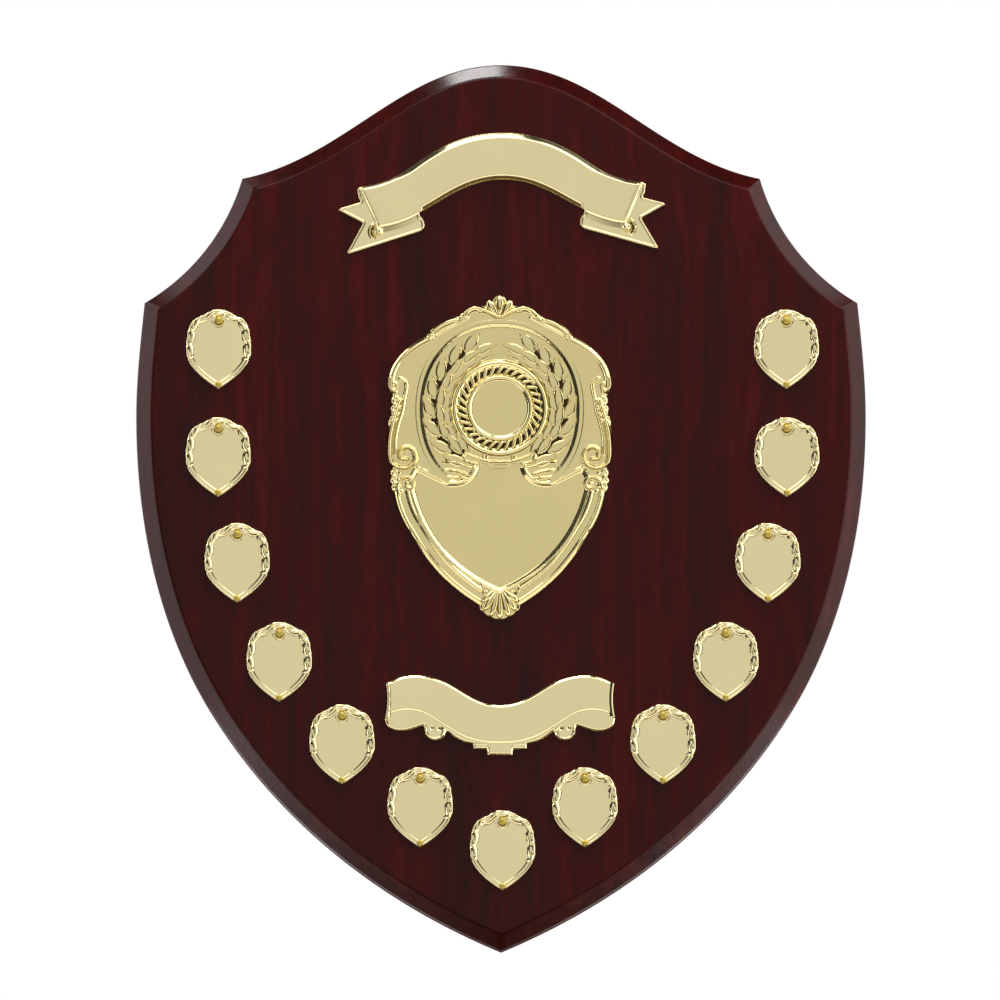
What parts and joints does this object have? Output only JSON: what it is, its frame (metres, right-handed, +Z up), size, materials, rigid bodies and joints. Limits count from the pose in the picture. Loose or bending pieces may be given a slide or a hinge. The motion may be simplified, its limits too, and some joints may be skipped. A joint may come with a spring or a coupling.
{
  "type": "award shield",
  "caption": "Wall-hung wooden award shield with a chamfered edge, pressed pale-gold scrolls, a wreathed centre shield and small blank record shields held by brass pins.",
  "frame": {"origin": "middle of the board's height and width on its flat back face, which lies on the wall", "axes": "+X to the viewer's right, +Y into the wall, +Z up; the front faces -Y"},
  "size_m": [0.3328, 0.0223, 0.4064],
  "materials": {
    "board_wood": "satin lacquered rosewood",
    "pale_gold": "polished pale gold plate",
    "pin_brass": "polished brass"
  },
  "bodies": {
    "root": {"board": "board_wood", "top_scroll": "pale_gold", "centre_shield": "pale_gold", "bottom_scroll": "pale_gold", "record_shield_01": "pale_gold", "record_shield_02": "pale_gold", "record_shield_03": "pale_gold", "record_shield_04": "pale_gold", "record_shield_05": "pale_gold", "record_shield_06": "pale_gold", "record_shield_07": "pale_gold", "record_shield_08": "pale_gold", "record_shield_09": "pale_gold", "record_shield_10": "pale_gold", "record_shield_11": "pale_gold", "record_shield_12": "pale_gold", "record_shield_13": "pale_gold", "pin_01_top": "pin_brass", "pin_01_bottom": "pin_brass", "pin_02_top": "pin_brass", "pin_02_bottom": "pin_brass", "pin_03_top": "pin_brass", "pin_03_bottom": "pin_brass", "pin_04_top": "pin_brass", "pin_04_bottom": "pin_brass", "pin_05_top": "pin_brass", "pin_05_bottom": "pin_brass", "pin_06_top": "pin_brass", "pin_06_bottom": "pin_brass", "pin_07_top": "pin_brass", "pin_07_bottom": "pin_brass", "pin_08_top": "pin_brass", "pin_08_bottom": "pin_brass", "pin_09_top": "pin_brass", "pin_09_bottom": "pin_brass", "pin_10_top": "pin_brass", "pin_10_bottom": "pin_brass", "pin_11_top": "pin_brass", "pin_11_bottom": "pin_brass", "pin_12_top": "pin_brass", "pin_12_bottom": "pin_brass", "pin_13_top": "pin_brass", "pin_13_bottom": "pin_brass"}
  },
  "joints": []
}
